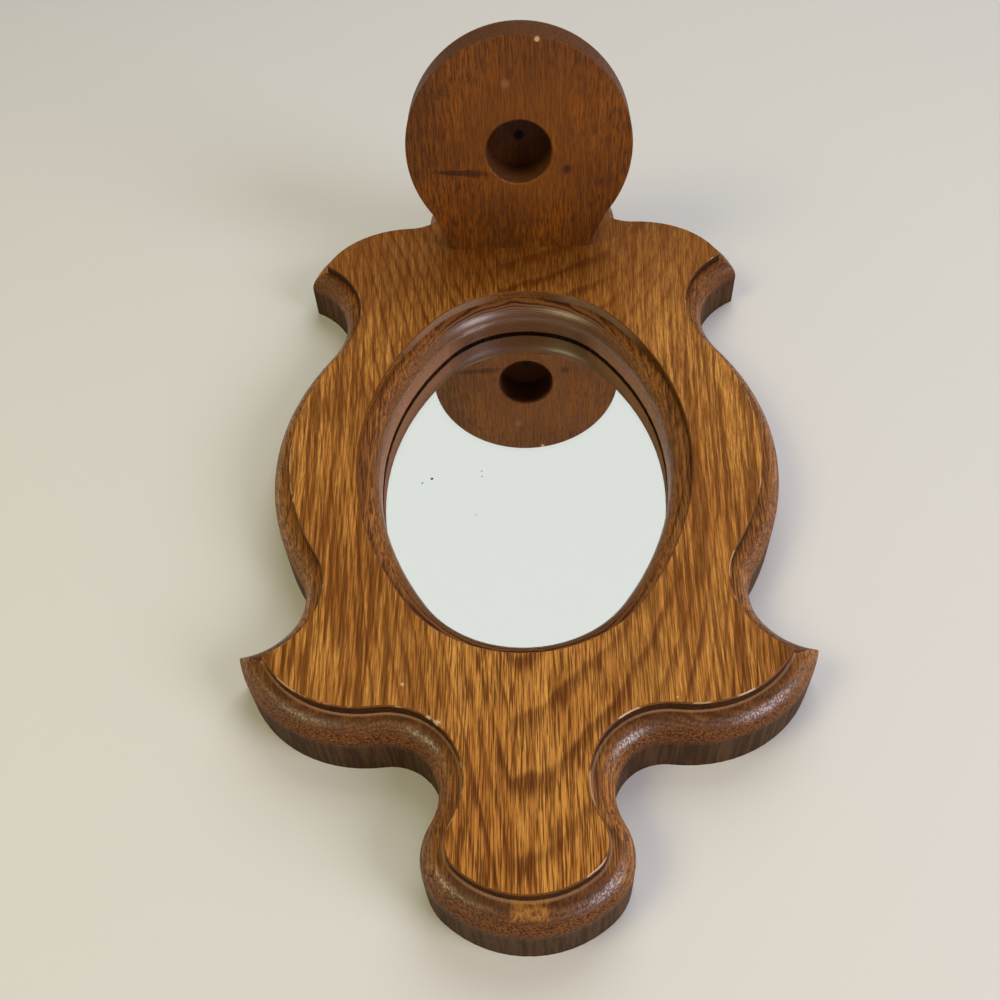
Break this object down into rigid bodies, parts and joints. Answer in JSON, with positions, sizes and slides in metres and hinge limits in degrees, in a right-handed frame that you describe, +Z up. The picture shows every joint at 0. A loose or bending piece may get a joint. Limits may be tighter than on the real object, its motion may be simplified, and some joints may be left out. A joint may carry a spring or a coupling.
{
  "type": "wall mirror with shelf",
  "caption": "Shaped oak wall plaque with a moulded edge, an oval mirror let into it and a small round candle shelf standing out below the mirror.",
  "frame": {"origin": "middle of the hanger's keyhole, on the back face of the board", "axes": "+X right and +Z up as the sconce hangs and is looked at, +Y into the wall"},
  "size_m": [0.1532, 0.0935, 0.2926],
  "materials": {
    "oak_board": "brown stained oak under semi-gloss lacquer",
    "oak_shelf": "darker brown stained oak under semi-gloss lacquer",
    "mirror": "silvered clear glass",
    "hardboard": "plain brown hardboard",
    "glazing_steel": "bare rolled steel",
    "hanger_steel": "bright zinc plate",
    "screw_steel": "yellow zinc plate"
  },
  "bodies": {
    "root": {"backplate": "oak_board", "candle_shelf": "oak_shelf", "mirror_glass": "mirror", "mirror_backing": "hardboard", "glazier_point_1": "glazing_steel", "glazier_point_2": "glazing_steel", "glazier_point_3": "glazing_steel", "glazier_point_4": "glazing_steel", "glazier_point_5": "glazing_steel", "glazier_point_6": "glazing_steel", "glazier_point_7": "glazing_steel", "glazier_point_8": "glazing_steel", "hanger_plate": "hanger_steel", "shelf_screw_left": "screw_steel", "shelf_screw_right": "screw_steel", "hanger_screw_upper": "screw_steel", "hanger_screw_lower": "screw_steel"}
  },
  "joints": []
}
